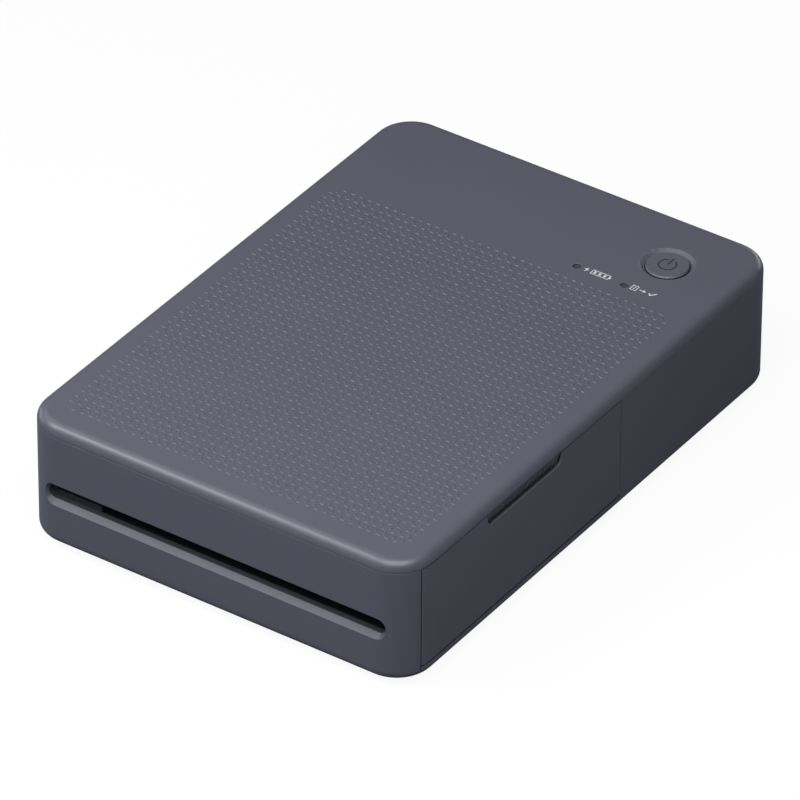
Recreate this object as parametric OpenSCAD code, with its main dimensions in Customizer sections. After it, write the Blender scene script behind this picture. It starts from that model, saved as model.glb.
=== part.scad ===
// Compact photo printer with a side-loading paper and ribbon cassette.
// Front (paper slot) faces -Y, the cassette door is on the right (+X) side,
// and the rubber feet stand on Z = 0. All sizes are in millimetres.

/* [Case] */
// Width of the case
body_w = 102.2; // [100:0.1:106]
// Depth of the case, front to back
body_d = 145.8; // [144:0.1:156]
// Height of the case without its feet
body_h = 31.6; // [31.4:0.1:34]
// Radius of the upright corners
corner_r = 9.2; // [8:0.1:11]
// Radius of the rounded top edge
top_r = 2.4; // [1.6:0.1:3]
// Radius of the rounded bottom edge
base_r = 2.5; // [1.8:0.1:3]
// Thickness of the moulded walls
wall = 1.8; // [1.5:0.1:2]
// Height of the seam under the top cover, down from the top face
cover_drop = 2.8; // [2.7:0.1:3.2]
// Height of the bottom cover's seam above the underside
base_seam_h = 1.4; // [1:0.1:1.6]
// Visible gap between the case shells
seam_gap = 0.12; // [0.08:0.01:0.2]

/* [Paper slot] */
// Distance from the slot's end to the side of the case
slot_side = 5.45; // [5:0.05:7]
// Height of the slot over its bevelled rim
slot_h = 5.7; // [5:0.1:6]
// Width of the bevel round the slot
slot_bevel = 1.2; // [0.8:0.1:1.4]
// Depth of the collar that lengthens the slot's mouth behind the wall
slot_collar = 0.9; // [0.6:0.1:1.2]
// Height of the top face above the sheet's path
path_h = 18.15; // [17.9:0.05:18.3]

/* [Door] */
// Distance from the front face to the door's front edge
door_front = 5.9; // [5.5:0.1:6.3]
// Length of the door along the side
door_len = 76.2; // [75.8:0.1:77]
// Height of the sill under the door, above the underside
sill_h = 3; // [2.8:0.05:3.2]
// Gap round the door
door_gap = 0.3; // [0.2:0.05:0.4]
// Chamfer along the door's lower edge
door_chamfer = 0.25; // [0.15:0.05:0.4]
// Distance from the door's front edge to the finger notch
notch_front = 24.2; // [20:0.1:28]
// Length of the finger notch
notch_len = 28.4; // [24:0.1:30]
// Depth of the finger notch
notch_drop = 3.15; // [2.6:0.05:3.6]
// Corner radius of the finger notch
notch_r = 2; // [1:0.1:2.4]
// Thickness of the door's skin round the finger notch
notch_skin = 0.4; // [0.3:0.05:0.6]
// Depth of the grip's lower edge behind the door's face
grip_in = 1; // [0.8:0.1:1.4]
// Ribs on the grip behind the notch
grip_ribs = 8; // [4:1:9]

/* [Controls] */
// Distance from the power button's axis to the right side
button_side = 18.3; // [17.5:0.1:21]
// Distance from the power button's axis to the rear
button_back = 17.6; // [16.5:0.1:20]
// Radius of the power button
button_r = 5; // [4.6:0.1:5.2]
// Radius of the dished ring round the button
dish_r = 6.2; // [5.9:0.1:7]
// Depth of the dished ring
dish_depth = 0.75; // [0.3:0.05:0.9]
// Travel of the power button
button_travel = 0.5; // [0.4:0.05:0.55]
// Radius of the two lamp holes
lamp_r = 1; // [0.8:0.05:1.2]

/* [Feet and screws] */
// Height that the rubber feet stand out
foot_h = 1.3; // [1:0.1:1.6]
// Radius of a rubber foot
foot_r = 5; // [4:0.1:6]
// Radius of a case screw's shank
screw_r = 1; // [0.9:0.05:1.2]

/* [Rollers] */
// Radius of the rubber platen roller
platen_r = 2.4; // [2.3:0.05:2.5]
// Radius of the steel capstan roller
capstan_r = 1.8; // [1.6:0.05:1.9]
// Radius of the pick-up roller's tyres
pickup_r = 1.9; // [1.8:0.05:2]
// Running clearance of a shaft in its bearing
running_fit = 0.05; // [0.03:0.01:0.08]

/* [Gears] */
// Module of the gear teeth
gear_module = 0.5; // [0.49:0.01:0.5]
// Face width of the gears
gear_w = 1.8; // [1.5:0.1:1.9]
// Thinning of each tooth for backlash
backlash = 0.05; // [0.04:0.01:0.07]

/* [Paper and ribbon] */
// Clearance between a sheet's edge and the tray's side
sheet_gap = 0.3; // [0.2:0.1:1]
// Length of a paper sheet, along the feed
sheet_len = 54; // [50:0.5:54]
// Thickness of the stack of paper
stack_h = 3.4; // [2:0.1:3.6]
// Radius of the ribbon wound on each spool
ribbon_r = 3.1; // [2.4:0.1:3.2]

/* [Hidden] */
$fn = 64;

// Colours of the materials
slate = [0.25, 0.25, 0.29];
slate_dark = [0.16, 0.16, 0.19];
black_plastic = [0.06, 0.06, 0.07];
steel = [0.62, 0.63, 0.65];
gear_white = [0.86, 0.85, 0.8];

// A little more than the case, for cuts that pass right through it
over = 2;
half_w = body_w / 2;
half_d = body_d / 2;
body_bottom = foot_h;
body_top = foot_h + body_h;
floor_top = body_bottom + wall;
ceiling = body_top - wall;
cover_seam = body_top - cover_drop;
base_seam = body_bottom + base_seam_h;
lip_t = 0.9;
lip_gap = 0.1;
lip_rise = 1.9;
inner_w = half_w - wall;
slot_w = body_w - 2 * slot_side;
button_x = half_w - button_side;
button_y = half_d - button_back;

// Door and its hinge
door_y0 = -half_d + door_front;
door_y1 = door_y0 + door_len;
sill_top = body_bottom + sill_h;
door_bottom = sill_top + door_gap - 0.1;
hinge_x = inner_w - 0.3;
hinge_z = sill_top + 2.35;
hinge_pin_r = 0.6;
hinge_boss_r = 1.4;
hinge_pin_in = 1;
hinge_pin_held = 4;
hinge_groove_gap = 0.15;
// The door's lower corner swings in a groove of this radius
hinge_groove_r = hinge_groove_gap + max(
    norm([half_w - door_chamfer - hinge_x, hinge_z - door_bottom]),
    norm([half_w - hinge_x, hinge_z - door_bottom - door_chamfer])
);
notch_y0 = door_y0 + notch_front;
notch_y1 = notch_y0 + notch_len;
notch_z = cover_seam - notch_drop;
notch_relief = 1.2;
grip_x = half_w - grip_in;
grip_x0 = inner_w - 1.4;
grip_rib_pitch = 2.3;
grip_rib_w = 0.6;
grip_rib_h = 0.2;
grip_rib_len = 1.7;

// Sheet path and rollers: [y, z] of each axis
path_z = body_top - path_h;
nip_gap = 0.2;
capstan_at = [door_y0 + 2, path_z - capstan_r];
pinch_at = [capstan_at[0], path_z + nip_gap + capstan_r];
platen_at = [capstan_at[0] + 14, path_z - platen_r];
journal_r = 1.2;
pinch_journal_r = 1;

// Left side frame and the plane of the gears, from the case's wall inwards
post_room = 1.1;
post_out = 0.3;
post_r = 1;
post_x0 = -inner_w + post_room;
gear_x0 = post_x0 + post_out;
gear_gap = 0.7;
frame_t = 0.8;
frame_x0 = gear_x0 + gear_w + gear_gap;
frame_x1 = frame_x0 + frame_t;

// Roller bracket at the right, and the rollers between the two
door_room = 4.3;
bracket_x0 = inner_w - door_room;
bracket_t = 1;
roller_end_gap = 1.1;
roller_half = -frame_x1 - roller_end_gap;
guide_half = roller_half + 0.9;
pickup_shaft_len = 46;
tyre_w = 8;
tyre_pitch = 18;
tyre_x0 = gear_x0 + pickup_shaft_len - tyre_pitch - tyre_w - 2.1;

// Teeth on each gear, and where each one sits in the train
capstan_teeth = 14;
platen_teeth = 14;
front_teeth = 24;
clutch_teeth = 26;
pickup_teeth = 14;
upper_teeth = 32;
middle_teeth = 36;
rear_teeth = 36;
pinion_teeth = 12;

function pitch_r(teeth) = gear_module * teeth / 2;
function gear_gap_between(a, b) = pitch_r(a) + pitch_r(b);
function direction(from, to) = atan2(to[1] - from[1], to[0] - from[0]);

// A gear at the height z that meshes with one at from, further along +Y
function mesh_behind(from, a, b, z) =
    [from[0] + sqrt(pow(gear_gap_between(a, b), 2) - pow(z - from[1], 2)), z];

// A gear above two others that meshes with both
function mesh_above(p, q, reach_p, reach_q) =
    let (d = norm(q - p), u = (q - p) / d)
    let (along = (reach_p * reach_p - reach_q * reach_q + d * d) / (2 * d))
    let (up = sqrt(reach_p * reach_p - along * along))
    [p[0] + along * u[0] - up * u[1], p[1] + along * u[1] + up * u[0]];

front_at = mesh_above(
    capstan_at, platen_at,
    gear_gap_between(capstan_teeth, front_teeth), gear_gap_between(platen_teeth, front_teeth)
);
clutch_at = mesh_behind(front_at, front_teeth, clutch_teeth, front_at[1] + 3.5);
pickup_at = mesh_behind(clutch_at, clutch_teeth, pickup_teeth, path_z - 1.05);
upper_at = mesh_behind(clutch_at, clutch_teeth, upper_teeth, clutch_at[1] - 1.4);
middle_at = mesh_behind(upper_at, upper_teeth, middle_teeth, upper_at[1] - 4);
rear_at = mesh_behind(middle_at, middle_teeth, rear_teeth, middle_at[1]);
pinion_at = mesh_behind(rear_at, rear_teeth, pinion_teeth, rear_at[1] - 1);

// Phase of gear b that puts its teeth in the gaps of gear a
function mesh_phase(at_a, teeth_a, phase_a, at_b, teeth_b) =
    let (t = direction(at_a, at_b))
    t + 180 - (180 - (t - phase_a) * teeth_a) / teeth_b;

front_phase = 0;
capstan_phase = mesh_phase(front_at, front_teeth, front_phase, capstan_at, capstan_teeth);
platen_phase = mesh_phase(front_at, front_teeth, front_phase, platen_at, platen_teeth);
clutch_phase = mesh_phase(front_at, front_teeth, front_phase, clutch_at, clutch_teeth);
pickup_phase = mesh_phase(clutch_at, clutch_teeth, clutch_phase, pickup_at, pickup_teeth);
upper_phase = mesh_phase(clutch_at, clutch_teeth, clutch_phase, upper_at, upper_teeth);
middle_phase = mesh_phase(upper_at, upper_teeth, upper_phase, middle_at, middle_teeth);
rear_phase = mesh_phase(middle_at, middle_teeth, middle_phase, rear_at, rear_teeth);
pinion_phase = mesh_phase(rear_at, rear_teeth, rear_phase, pinion_at, pinion_teeth);

// Cassette
cassette_gap = 0.3;
cassette_x0 = frame_x1 + cassette_gap;
cassette_x1 = inner_w - door_room + 1.2;
cassette_y0 = capstan_at[0] + capstan_r + 0.4;
cassette_y1 = door_y1 - 0.6;
cassette_z0 = floor_top + 0.2;
top_plate_z0 = ceiling - 1.2;
cassette_z1 = top_plate_z0 - 0.5;
cassette_t = 1;
sheet_w = 2 * (-cassette_x0 - cassette_t - sheet_gap);
tray_y0 = platen_at[0] + platen_r + 0.4;
tray_top = path_z - 3.3;
cover_z0 = path_z + 1.9;
head_gap = 0.35;
head_w = 4.2;
head_y0 = platen_at[0] - 3.1;
head_y1 = head_y0 + head_w;
stack_z1 = pickup_at[1] - pickup_r - 0.1;
stack_z0 = stack_z1 - stack_h;
stack_y1 = cassette_y1 - cassette_t - 0.3;
spool_core_r = 2;
spool_hub_r = 1.2;
spool_flange_t = 0.8;
spool_half = sheet_w / 2 - 1;
supply_at = [cassette_y0 + cassette_t + ribbon_r + 0.35, clutch_at[1]];
web_t = 0.12;
web_z = path_z + head_gap - 0.13;
ledge_y0 = door_y0 + 41;
ledge_len = 18;
ledge_z0 = cover_z0 + 1.75;
ledge_t = 1.2;
ledge_out = 1.2;

// Screws in the rear corners, which the board and battery keep clear of
rear_screw_x = half_w - 7;
rear_screw_y = half_d - 7;
rear_boss_r = 3;

// Electronics behind the cassette
board_t = 1.2;
board_z0 = floor_top + 3;
board_w = 55;
board_gap = 17.8;
board_x1 = rear_screw_x - rear_boss_r - 2.1;
board_x0 = board_x1 - board_w;
board_y0 = door_y1 + board_gap;
board_y1 = half_d - wall - 2;
post_in = 4;
board_posts = [
    [board_x0 + post_in, board_y0 + post_in], [board_x1 - post_in, board_y0 + post_in],
    [board_x0 + post_in, board_y1 - 2 * post_in], [board_x1 - post_in, board_y1 - 3 * post_in]
];
motor_r = 4.5;
motor_len = 20;
battery_gap = 4.3;
battery_x0 = -inner_w + battery_gap;
battery_x1 = board_x0 - 3;
battery_y0 = pinion_at[0] + motor_r + battery_gap;
battery_y1 = rear_screw_y - rear_boss_r - 1.9;
battery_h = 9;
usb_in = 17;
usb_x = board_x1 - usb_in;
usb_w = 9;
usb_h = 3.2;
switch_h = 3.4;
switch_top = ceiling - 3.2;
small_board_z1 = switch_top - switch_h;
small_board_z0 = small_board_z1 - board_t;
lamps = [[button_x - 16, button_y - 12.2], [button_x - 3.3, button_y - 12.4]];
small_board_x0 = lamps[0][0] - 5.8;
small_board_x1 = button_x + 8.7;
small_board_y0 = lamps[1][1] - 3.9;
small_board_y1 = button_y + 4.7;
small_board_posts = [[small_board_x0 + 2.5, small_board_y1 - 8], [small_board_x1 - 3, small_board_y0 + 4.5]];
flange_t = 0.8;
flange_z1 = ceiling - 0.1;

// Feet and screws
foot_sink = 0.6;
foot_x = half_w - 13.1;
foot_y = half_d - 14.9;
foot_places = [[-foot_x, -foot_y], [foot_x, -foot_y], [-foot_x, foot_y], [foot_x, foot_y]];
front_screw_x = half_w - 21.1;
front_screw_y = -half_d + wall + 2.2;
screw_places = [[-front_screw_x, front_screw_y], [front_screw_x, front_screw_y],
    [-rear_screw_x, rear_screw_y], [rear_screw_x, rear_screw_y]];
screw_head_r = 2;
screw_head_t = 0.8;
front_boss_r = 2;
front_boss_h = path_z - floor_top - 4.2;
screw_len = 7;

// ---------- shapes shared by the case shells ----------

// Half of the case's cross-section, from its middle out to reach, both edges rounded
module side_profile(reach) {
    square([reach - max(top_r, base_r), body_h]);
    translate([0, base_r]) square([reach, body_h - base_r - top_r]);
    translate([reach - top_r, body_h - top_r]) circle(r = top_r);
    translate([reach - base_r, base_r]) circle(r = base_r);
}

// The whole rounded block: straight sides swept along, corners turned
module outer_block() {
    span_x = half_w - corner_r;
    span_y = half_d - corner_r;
    translate([0, 0, body_bottom]) {
        for (turn = [0, 180])
            rotate([0, 0, turn]) {
                translate([0, span_y, 0]) rotate([90, 0, 0])
                    linear_extrude(height = 2 * span_y) side_profile(half_w);
                translate([0, span_y, 0]) rotate([90, 0, 90])
                    linear_extrude(height = 2 * span_x, center = true) side_profile(corner_r);
                translate([span_x, span_y, 0])
                    rotate_extrude(angle = 90) side_profile(corner_r);
                translate([-span_x, span_y, 0]) rotate([0, 0, 90])
                    rotate_extrude(angle = 90) side_profile(corner_r);
            }
    }
}

// Plan of the case, drawn in by inset
module plan(inset) {
    w = body_w - 2 * inset;
    d = body_d - 2 * inset;
    r = corner_r - inset;
    square([w - 2 * r, d], center = true);
    square([w, d - 2 * r], center = true);
    for (sx = [-1, 1], sy = [-1, 1])
        translate([sx * (w / 2 - r), sy * (d / 2 - r)]) circle(r = r);
}

module cavity() {
    translate([0, 0, floor_top]) linear_extrude(height = ceiling - floor_top) plan(wall);
}

// A box given by its two corners
module block(from, to) {
    translate(from) cube(to - from);
}

// Everything in front of the door's front edge and under the top cover
module bezel_space(grow) {
    block(
        [-half_w - over, -half_d - over, base_seam - grow],
        [half_w + over, door_y0 + grow, cover_seam + grow]
    );
}

// The opening in the right side that the door and its sill fill
module door_space(grow) {
    block(
        [inner_w - over, door_y0 - grow, base_seam],
        [half_w + over, door_y1 + grow, cover_seam + grow]
    );
}

// A cylinder along +X from x0 at a [y, z] axis
module rod(x0, length, at, r) {
    translate([x0, at[0], at[1]]) rotate([0, 90, 0]) cylinder(r = r, h = length);
}

// ---------- case shells ----------

module upper_case() {
    color(slate) difference() {
        union() {
            difference() {
                outer_block();
                translate([0, 0, body_bottom - over])
                    linear_extrude(height = ceiling - body_bottom + over) plan(wall);
                block(
                    [-half_w - over, -half_d - over, body_bottom - over],
                    [half_w + over, half_d + over, base_seam]
                );
                bezel_space(0);
                door_space(0);
                grip_slant(0);
            }
            // jamb behind the top edge of the door
            block(
                [grip_x0, door_y0 + 1, cover_seam - 1.2],
                [inner_w - 0.2, door_y1 - 1, ceiling]
            );
            grip();
            // bearing for the rear hinge pin
            block(
                [hinge_x - hinge_boss_r, door_y1, hinge_z - hinge_boss_r],
                [inner_w, door_y1 + hinge_pin_in + 1, hinge_z + hinge_boss_r]
            );
            // screw posts in the rear corners
            for (side = [-1, 1])
                translate([side * rear_screw_x, rear_screw_y, floor_top + 0.1])
                    cylinder(r = rear_boss_r, h = ceiling - floor_top);
            // posts that carry the small board
            for (p = small_board_posts)
                translate([p[0], p[1], small_board_z1])
                    cylinder(r = 1.8, h = ceiling - small_board_z1 + 0.2);
        }
        // hole and dished ring of the power button
        translate([button_x, button_y, ceiling - over])
            cylinder(r = button_r + 0.2, h = wall + 2 * over);
        translate([button_x, button_y, body_top - dish_depth])
            cylinder(r1 = button_r + 0.4, r2 = dish_r, h = dish_depth);
        for (p = lamps)
            translate([p[0], p[1], ceiling - over]) cylinder(r = lamp_r, h = wall + 2 * over);
        for (side = [-1, 1])
            translate([side * rear_screw_x, rear_screw_y, body_bottom])
                cylinder(r = screw_r, h = screw_len + over);
        translate([hinge_x, door_y1 - 0.1, hinge_z]) rotate([-90, 0, 0])
            cylinder(r = hinge_pin_r + running_fit, h = hinge_pin_in + 0.2);
        usb_opening();
    }
}

// Tongue behind the finger notch, with its upright grip ribs
module grip() {
    middle = (notch_y0 + notch_y1) / 2;
    difference() {
        translate([grip_x0, notch_y0, 0]) rotate([90, 0, 90])
            linear_extrude(height = half_w - grip_x0) notch_outline(door_gap, 0.5);
        grip_slant(0);
    }
    difference() {
        for (i = [0 : grip_ribs - 1])
            translate([grip_x - 0.5, middle + (i - (grip_ribs - 1) / 2) * grip_rib_pitch, notch_z + 0.8])
                translate([0, -grip_rib_w / 2, 0]) cube([grip_in + 0.5, grip_rib_w, grip_rib_len]);
        grip_slant(grip_rib_h);
    }
}

// Material taken off in front of the tongue, whose face leans in from the rounded top edge;
// out stands the face further out
module grip_slant(out) {
    translate([out, notch_y1, 0]) rotate([90, 0, 0]) linear_extrude(height = notch_len)
        polygon([
            [half_w, body_top - top_r], [half_w + over, body_top - top_r],
            [half_w + over, notch_z - 1], [grip_x, notch_z - 1], [grip_x, notch_z]
        ]);
}

module usb_opening() {
    translate([usb_x, half_d - wall - over, board_z0 + board_t + usb_h / 2])
        rotate([-90, 0, 0]) linear_extrude(height = wall + 2 * over) stadium(usb_w + 0.6, usb_h + 0.6);
}

module stadium(w, h) {
    square([w - h, h], center = true);
    for (side = [-1, 1]) translate([side * (w - h) / 2, 0]) circle(r = h / 2);
}

// Front of the case, which wraps both corners, with the bevelled paper slot
module front_bezel() {
    color(slate) difference() {
        union() {
            difference() {
                intersection() {
                    outer_block();
                    block(
                        [-half_w - over, -half_d - over, base_seam + seam_gap],
                        [half_w + over, door_y0 - seam_gap, cover_seam - seam_gap]
                    );
                }
                cavity();
                translate([0, 0, body_bottom]) linear_extrude(height = wall + 0.1) plan(wall);
            }
            // bosses for the two front screws
            for (side = [-1, 1])
                translate([side * front_screw_x, front_screw_y, floor_top + 0.1]) {
                    cylinder(r = front_boss_r, h = front_boss_h);
                    translate([-0.6, -half_d + wall / 2 - front_screw_y, 0])
                        cube([1.2, half_d - wall / 2 + front_screw_y - screw_r - 0.4, front_boss_h]);
                }
            slot_collar_block();
            // bearing for the front hinge pin
            intersection() {
                outer_block();
                block(
                    [hinge_x - hinge_boss_r, door_y0 - hinge_pin_in - 0.9, hinge_z - hinge_boss_r],
                    [half_w, door_y0 - seam_gap, hinge_z + hinge_boss_r]
                );
            }
        }
        slot_cut();
        // pocket that clears the capstan's gear in the rounded corner
        rod(gear_x0 - 0.2, gear_w + 1, capstan_at, pitch_r(capstan_teeth) + addendum + 0.25);
        for (side = [-1, 1])
            translate([side * front_screw_x, front_screw_y, body_bottom])
                cylinder(r = screw_r, h = screw_len);
        translate([hinge_x, door_y0 + 0.1, hinge_z]) rotate([90, 0, 0])
            cylinder(r = hinge_pin_r + running_fit, h = hinge_pin_in + 0.3);
    }
}

// Collar behind the wall, which the slot passes through
module slot_collar_block() {
    half_len = slot_w / 2 - slot_bevel + 0.8;
    half_high = slot_h / 2 - slot_bevel + 0.8;
    block(
        [-half_len, -half_d + wall - 0.1, path_z - half_high],
        [half_len, -half_d + wall + slot_collar, path_z + half_high]
    );
}

// The slot: a straight mouth through the wall, and a bevel that slopes into it
module slot_cut() {
    mouth_w = slot_w - 2 * slot_bevel;
    mouth_h = slot_h - 2 * slot_bevel;
    run = (slot_w - slot_h) / 2;
    translate([0, -half_d, path_z]) {
        rotate([-90, 0, 0]) translate([0, 0, -over])
            linear_extrude(height = wall + 2 * over) stadium(mouth_w, mouth_h);
        // flat bevels above and below, and cones round the two ends
        rotate([90, 0, 90]) linear_extrude(height = 2 * run, center = true)
            polygon([
                [-over, slot_h / 2 + over], [slot_bevel, mouth_h / 2],
                [slot_bevel, -mouth_h / 2], [-over, -slot_h / 2 - over]
            ]);
        for (side = [-1, 1])
            translate([side * run, -over, 0]) rotate([-90, 0, 0])
                cylinder(r1 = slot_h / 2 + over, r2 = mouth_h / 2, h = slot_bevel + over);
    }
}

module lower_case() {
    color(slate_dark) difference() {
        union() {
            intersection() {
                outer_block();
                block(
                    [-half_w - over, -half_d - over, body_bottom - over],
                    [half_w + over, half_d + over, base_seam]
                );
            }
            // floor inside the walls, and the lip that locates them
            translate([0, 0, base_seam - 0.1])
                linear_extrude(height = floor_top - base_seam + 0.1) plan(wall + lip_gap);
            difference() {
                translate([0, 0, floor_top - 0.1])
                    linear_extrude(height = lip_rise) plan(wall + lip_gap);
                translate([0, 0, floor_top - over])
                    linear_extrude(height = lip_rise + 2 * over) plan(wall + lip_gap + lip_t);
                block(
                    [inner_w - over, door_y0 - 3, floor_top],
                    [half_w, door_y1 + 3, floor_top + 2 * over]
                );
                block([usb_x - 8, half_d - 4, floor_top + 1], [usb_x + 8, half_d, floor_top + 3]);
                for (p = screw_places)
                    translate([p[0], p[1], floor_top]) cylinder(r = rear_boss_r + 0.3, h = 2 * over);
            }
            // sill under the door
            intersection() {
                outer_block();
                block(
                    [inner_w - 0.6, door_y0 + seam_gap, base_seam - 0.2],
                    [half_w, door_y1 - seam_gap, sill_top]
                );
            }
            // posts for the main board
            for (p = board_posts)
                translate([p[0], p[1], floor_top - 0.1])
                    cylinder(r = 2.2, h = board_z0 - floor_top + 0.1);
        }
        translate([hinge_x, door_y0 - 1, hinge_z]) rotate([-90, 0, 0])
            cylinder(r = hinge_groove_r, h = door_len + 2);
        for (p = foot_places)
            translate([p[0], p[1], body_bottom - 0.1]) cylinder(r = foot_r + 0.1, h = foot_sink + 0.1);
        for (p = screw_places)
            translate([p[0], p[1], body_bottom - 0.1]) {
                cylinder(r = screw_r + 0.15, h = wall + over);
                cylinder(r = screw_head_r + 0.2, h = screw_head_t + 0.1);
            }
    }
}

module rubber_feet() {
    color([0.08, 0.08, 0.08]) for (p = foot_places)
        translate([p[0], p[1], 0]) {
            cylinder(r1 = foot_r - 0.4, r2 = foot_r, h = 0.4);
            translate([0, 0, 0.4]) cylinder(r = foot_r, h = foot_h + foot_sink - 0.4);
        }
}

module case_screws() {
    color(steel) for (p = screw_places)
        translate([p[0], p[1], body_bottom + 0.1]) difference() {
            union() {
                cylinder(r = screw_head_r, h = screw_head_t - 0.1);
                cylinder(r = screw_r, h = screw_len - 0.5);
            }
            for (turn = [0, 90])
                rotate([0, 0, turn]) translate([-1.1, -0.2, -0.1]) cube([2.2, 0.4, 0.5]);
        }
}

// ---------- door ----------

module cassette_door() {
    y0 = door_y0 + door_gap / 2;
    y1 = door_y1 - door_gap / 2;
    inner_x = inner_w;
    rib_z0 = hinge_z + 3.4;
    rib_z1 = notch_z - notch_relief - 0.4;
    color(slate) difference() {
        union() {
            intersection() {
                outer_block();
                translate([0, y1, 0]) rotate([90, 0, 0]) linear_extrude(height = y1 - y0)
                    polygon([
                        [inner_x, door_bottom], [half_w - door_chamfer, door_bottom],
                        [half_w, door_bottom + door_chamfer], [half_w + over, door_bottom + door_chamfer],
                        [half_w + over, cover_seam - seam_gap], [inner_x, cover_seam - seam_gap]
                    ]);
            }
            // stiffening ribs on the inside
            for (z = [rib_z0, rib_z1 - 1])
                block([inner_x - 0.9, y0 + 2, z], [inner_x + 0.2, y1 - 2, z + 1]);
            for (y = [y0 + 2, (y0 + y1) / 2, y1 - 3])
                block([inner_x - 0.9, y, rib_z0], [inner_x + 0.2, y + 1, rib_z1]);
            // bosses that hold the hinge pins
            for (y = [y0, y1 - hinge_pin_held - 1])
                translate([hinge_x, y, hinge_z]) rotate([-90, 0, 0])
                    cylinder(r = hinge_boss_r, h = hinge_pin_held + 1);
        }
        finger_notch();
        for (y = [y0 - 1, y1 - hinge_pin_held])
            translate([hinge_x, y, hinge_z]) rotate([-90, 0, 0])
                cylinder(r = hinge_pin_r, h = hinge_pin_held + 1);
    }
}

// The notch, and the thinner skin round it, so that a fingertip gets behind the edge
module finger_notch() {
    translate([inner_w - over, notch_y0, 0]) rotate([90, 0, 90]) {
        linear_extrude(height = wall + 2 * over) notch_outline(0, over);
        linear_extrude(height = wall + over - notch_skin) notch_outline(-notch_relief, over);
    }
}

// The notch seen from the side, drawn in by inset, and reaching past the seam by rise
module notch_outline(inset, rise) {
    r = notch_r - inset;
    far = notch_len - inset;
    top = cover_seam + rise;
    translate([notch_r, notch_z + inset]) square([notch_len - 2 * notch_r, top - notch_z - inset]);
    translate([inset, notch_z + notch_r]) square([far - inset, top - notch_z - notch_r]);
    for (y = [notch_r, notch_len - notch_r]) translate([y, notch_z + notch_r]) circle(r = r);
}

module door_hinge_pins() {
    y0 = door_y0 + door_gap / 2;
    y1 = door_y1 - door_gap / 2;
    reach = hinge_pin_held + hinge_pin_in;
    color(steel) for (y = [y0 - hinge_pin_in, y1 - hinge_pin_held])
        translate([hinge_x, y, hinge_z]) rotate([-90, 0, 0]) cylinder(r = hinge_pin_r, h = reach);
}

// ---------- controls ----------

module power_button() {
    color(slate) translate([button_x, button_y, 0]) {
        translate([0, 0, body_top - 0.5]) cylinder(r1 = button_r, r2 = button_r - 0.25, h = 0.35);
        translate([0, 0, flange_z1 - 0.1])
            cylinder(r = button_r, h = body_top - 0.5 - flange_z1 + 0.1);
        translate([0, 0, flange_z1 - flange_t]) cylinder(r = button_r + 1.2, h = flange_t);
        translate([0, 0, switch_top + 0.05])
            cylinder(r = 1.5, h = flange_z1 - flange_t - switch_top + 0.15);
    }
}

module power_switch() {
    color(black_plastic) translate([button_x, button_y, 0]) {
        translate([-3, -3, small_board_z1]) cube([6, 6, switch_h - 0.9]);
        translate([0, 0, small_board_z1]) cylinder(r = 1.7, h = switch_h - button_travel - 0.05);
    }
}

module button_board() {
    color([0.1, 0.28, 0.16]) block(
        [small_board_x0, small_board_y0, small_board_z0], [small_board_x1, small_board_y1, small_board_z1]
    );
}

// Clear rods that carry the light of the two lamps up to the top face
module light_pipes() {
    color([0.75, 0.78, 0.8]) for (p = lamps)
        translate([p[0], p[1], 0]) {
            translate([0, 0, ceiling - 1.3]) cylinder(r = lamp_r + 0.8, h = 1.2);
            translate([0, 0, small_board_z1]) cylinder(r = lamp_r - 0.05, h = body_top - 0.3 - small_board_z1);
        }
}

// ---------- inner frame ----------

module side_frame() {
    shafts = [
        [capstan_at, journal_r], [platen_at, journal_r], [pinch_at, pinch_journal_r],
        [pickup_at, pinch_journal_r], [clutch_at, spool_hub_r], [supply_at, spool_hub_r]
    ];
    posts = [front_at, upper_at, middle_at, rear_at];
    color(steel) difference() {
        union() {
            block([frame_x0, door_y0 - 0.9, floor_top], [frame_x1, door_y1 + 2.2, top_plate_z0]);
            block([frame_x1 - 0.1, door_y1 + 0.4, floor_top], [frame_x1 + 3, door_y1 + 1.2, top_plate_z0]);
            for (p = posts) rod(post_x0, frame_x0 - post_x0 + 0.1, p, post_r);
            for (p = posts) rod(frame_x0 - gear_gap + 0.1, gear_gap, p, post_r + 0.8);
            // plate that the motor is held on
            block([frame_x0, door_y1 + 2, pinion_at[1] - 6], [frame_x1, pinion_at[0] + 6, pinion_at[1] + 6]);
        }
        for (s = shafts) rod(frame_x0 - 1, frame_t + 2, s[0], s[1] + running_fit);
        rod(frame_x0 - 1, frame_t + 2, pinion_at, 2);
        // windows that lighten the plate
        for (y = [upper_at[0] + 2.5, middle_at[0] + 3])
            block([frame_x0 - 1, y, floor_top + 3], [frame_x1 + 1, y + 11.5, floor_top + 8]);
    }
}

module bay_wall() {
    color(steel) block([frame_x1 + 3.1, door_y1 + 0.4, floor_top], [inner_w - 2.2, door_y1 + 1.2, top_plate_z0]);
}

module top_plate() {
    color(steel) difference() {
        block([frame_x0, cassette_y0 + 1, top_plate_z0], [bracket_x0, door_y1 + 1.2, top_plate_z0 + 0.8]);
        for (x = [frame_x1 + 20.6, frame_x1 + 48.6])
            block([x, tray_y0 + 14, top_plate_z0 - 1], [x + 20, door_y1 - 8, top_plate_z0 + 2]);
    }
}

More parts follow.
